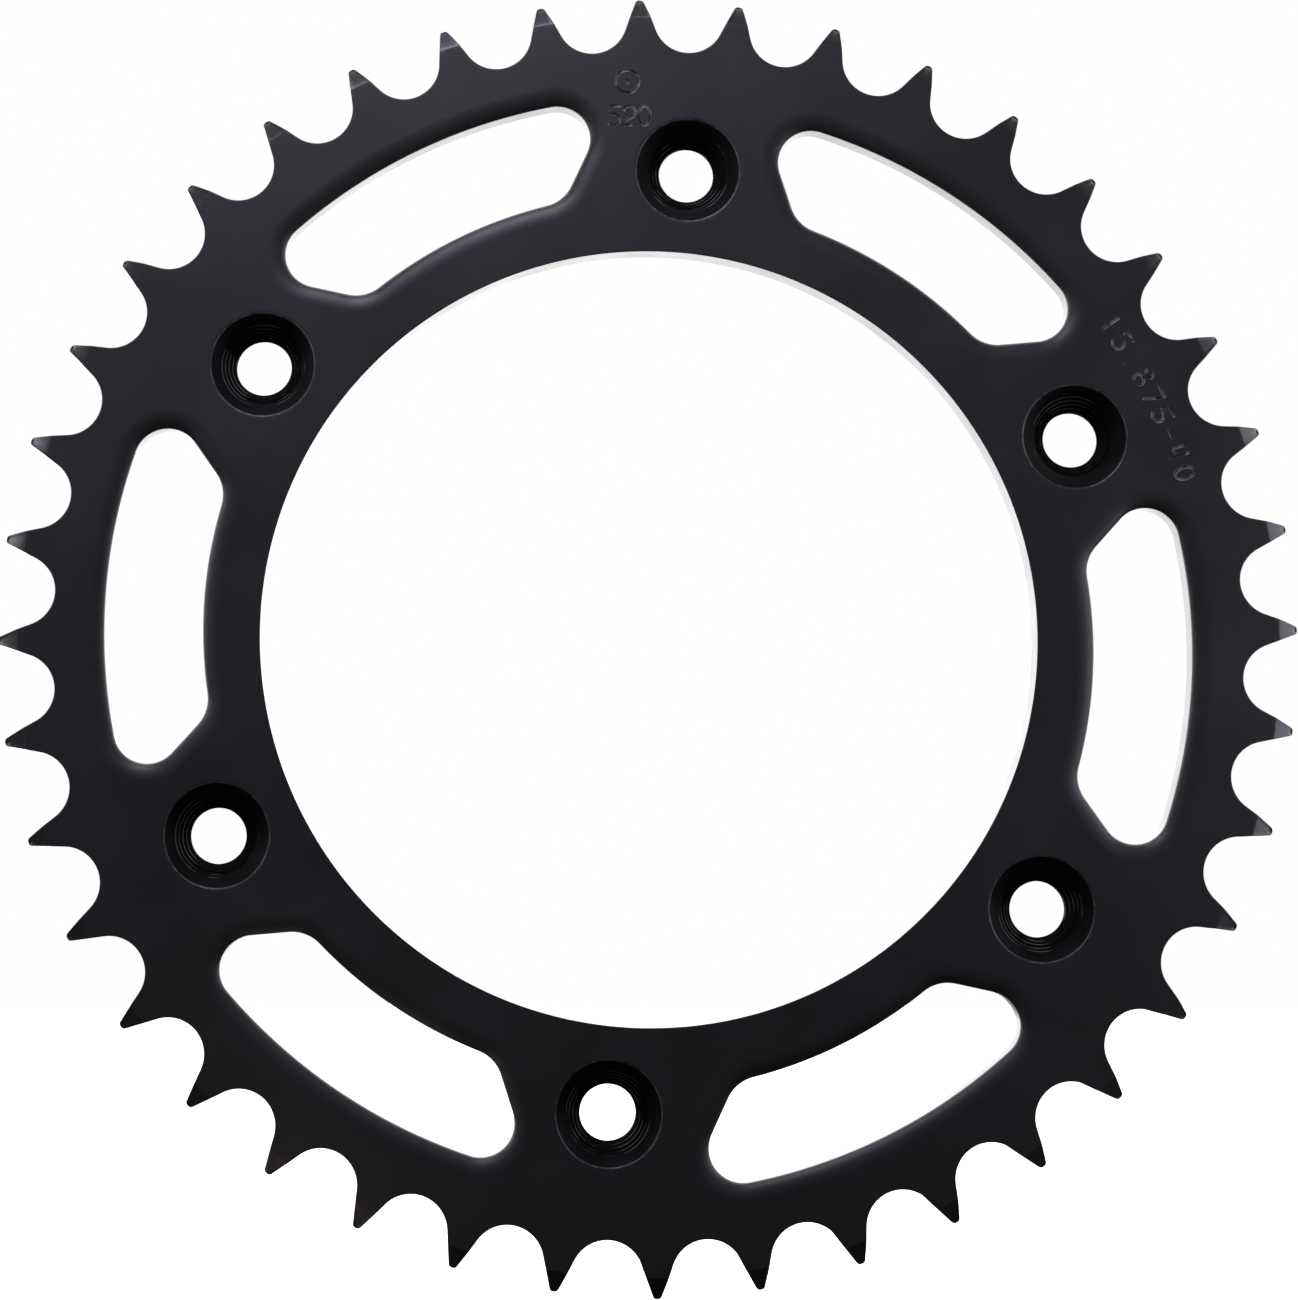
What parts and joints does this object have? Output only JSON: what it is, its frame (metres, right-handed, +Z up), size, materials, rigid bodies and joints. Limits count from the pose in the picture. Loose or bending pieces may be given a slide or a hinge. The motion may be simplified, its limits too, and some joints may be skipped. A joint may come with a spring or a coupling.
{
  "type": "rear sprocket",
  "caption": "Flat toothed steel wheel for a roller chain, with a large hub bore, a ring of countersunk bolt holes and curved windows.",
  "frame": {"origin": "centre of the hub bore, at half the plate's thickness", "axes": "+Y along the axle towards the wheel hub, +Z up; the countersunk outer face looks along -Y and +X is to its right"},
  "size_m": [0.2104, 0.006, 0.2104],
  "materials": {
    "black_steel": "satin black coating on steel"
  },
  "bodies": {
    "root": {"sprocket_plate": "black_steel"}
  },
  "joints": []
}
